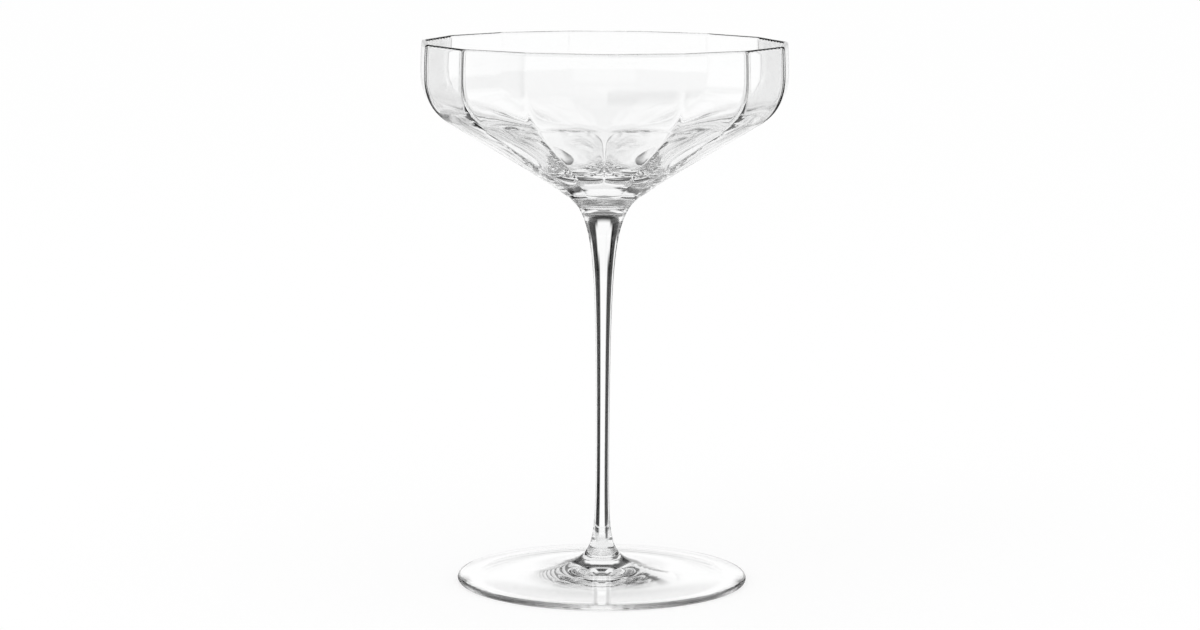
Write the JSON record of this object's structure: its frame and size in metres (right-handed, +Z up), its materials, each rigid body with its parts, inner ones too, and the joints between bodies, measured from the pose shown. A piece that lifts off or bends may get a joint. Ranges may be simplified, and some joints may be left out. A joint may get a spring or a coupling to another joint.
{
  "type": "coupe glass",
  "caption": "Clear glass coupe: wide bowl in fifteen soft optic panels, flat on the wall and swelling on the cone, on a slim drawn stem that flares into a thin round foot.",
  "frame": {"origin": "middle of the foot's underside, in the plane of the flat ring that the glass stands on", "axes": "+Z up along the stem, towards the rim; one crease of the bowl lies over -Y and the fifteen panels repeat round Z"},
  "size_m": [0.1116, 0.1111, 0.165],
  "materials": {
    "bowl_glass": "clear blown glass, fire polished",
    "stem_glass": "clear drawn glass",
    "foot_glass": "clear spun glass, fire polished"
  },
  "bodies": {
    "root": {"bowl": "bowl_glass", "stem": "stem_glass", "foot": "foot_glass"}
  },
  "joints": []
}
